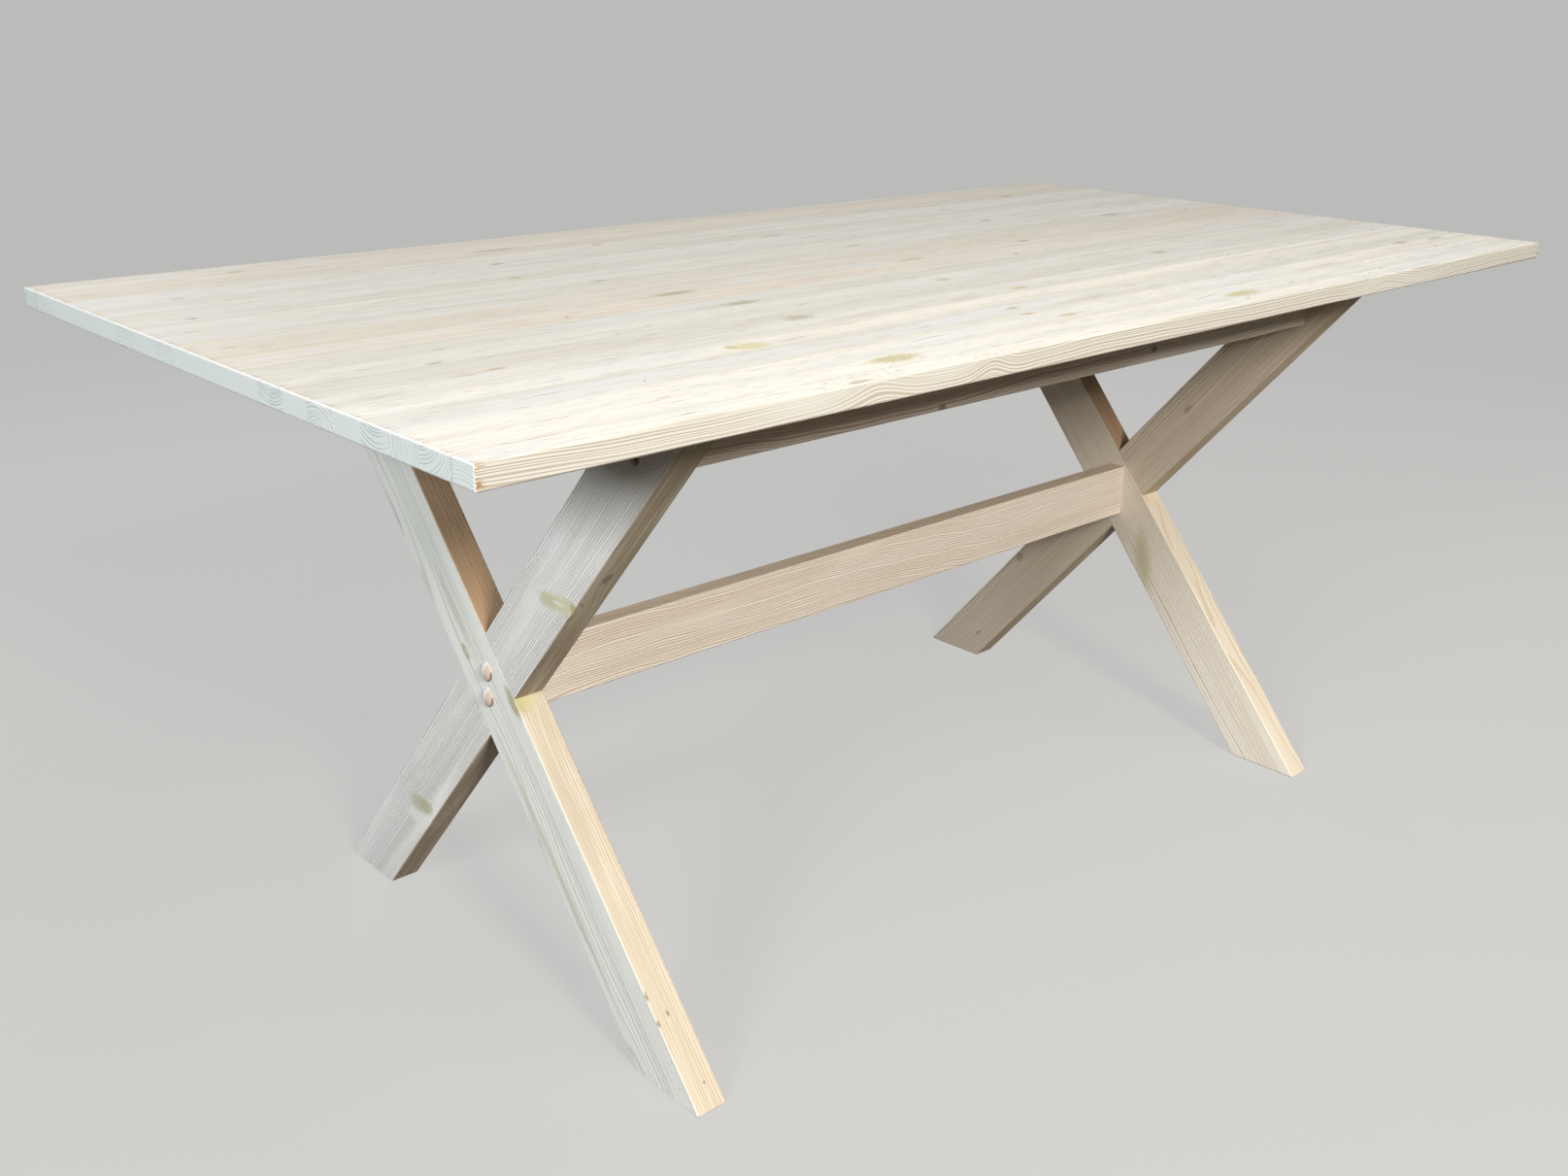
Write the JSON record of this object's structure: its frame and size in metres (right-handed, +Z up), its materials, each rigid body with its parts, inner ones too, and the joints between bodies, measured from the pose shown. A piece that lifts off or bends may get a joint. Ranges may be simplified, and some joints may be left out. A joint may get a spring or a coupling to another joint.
{
  "type": "sawbuck table",
  "caption": "Dining table with a stave-glued wooden top on half-lapped X-shaped leg frames, tied by a bolted stretcher and rails.",
  "frame": {"origin": "on the floor, under the middle of the top", "axes": "+X along the table's length, +Y from the front long side to the back, +Z up"},
  "size_m": [1.7, 0.88, 0.75],
  "materials": {
    "top_wood": "whitewashed, lightly brushed pine, matt",
    "leg_wood": "whitewashed, deeply brushed pine, matt",
    "stretcher_wood": "whitewashed, brushed pine, matt",
    "rail_wood": "whitewashed, brushed pine, matt",
    "cap_wood": "whitewashed turned wood, matt",
    "dowel_wood": "plain beech, unfinished",
    "fastener_steel": "zinc plated"
  },
  "bodies": {
    "root": {"cap_left_lower": "cap_wood", "cap_left_upper": "cap_wood", "cap_right_lower": "cap_wood", "cap_right_upper": "cap_wood", "crossing_bolt_left_lower": "fastener_steel", "crossing_bolt_left_upper": "fastener_steel", "crossing_bolt_right_lower": "fastener_steel", "crossing_bolt_right_upper": "fastener_steel", "crossing_nut_left_lower": "fastener_steel", "crossing_nut_left_upper": "fastener_steel", "crossing_nut_right_lower": "fastener_steel", "crossing_nut_right_upper": "fastener_steel", "leg_left_back_foot": "leg_wood", "leg_left_front_foot": "leg_wood", "leg_right_back_foot": "leg_wood", "leg_right_front_foot": "leg_wood", "rail_back": "rail_wood", "rail_bolt_left_back": "fastener_steel", "rail_bolt_left_front": "fastener_steel", "rail_bolt_right_back": "fastener_steel", "rail_bolt_right_front": "fastener_steel", "rail_dowel_left_back": "dowel_wood", "rail_dowel_left_front": "dowel_wood", "rail_dowel_right_back": "dowel_wood", "rail_dowel_right_front": "dowel_wood", "rail_front": "rail_wood", "rail_nut_left_back": "fastener_steel", "rail_nut_left_front": "fastener_steel", "rail_nut_right_back": "fastener_steel", "rail_nut_right_front": "fastener_steel", "stretcher": "stretcher_wood", "top_screw_back_1": "fastener_steel", "top_screw_back_2": "fastener_steel", "top_screw_back_3": "fastener_steel", "top_screw_front_1": "fastener_steel", "top_screw_front_2": "fastener_steel", "top_screw_front_3": "fastener_steel", "top_stave_01": "top_wood", "top_stave_02": "top_wood", "top_stave_03": "top_wood", "top_stave_04": "top_wood", "top_stave_05": "top_wood", "top_stave_06": "top_wood", "top_stave_07": "top_wood", "top_stave_08": "top_wood", "top_stave_09": "top_wood", "top_stave_10": "top_wood", "top_stave_11": "top_wood", "top_stave_12": "top_wood", "top_stave_13": "top_wood", "top_stave_14": "top_wood", "top_stave_15": "top_wood", "top_stave_16": "top_wood", "top_stave_17": "top_wood", "top_stave_18": "top_wood", "top_stave_19": "top_wood", "top_stave_20": "top_wood", "top_stave_21": "top_wood"}
  },
  "joints": []
}
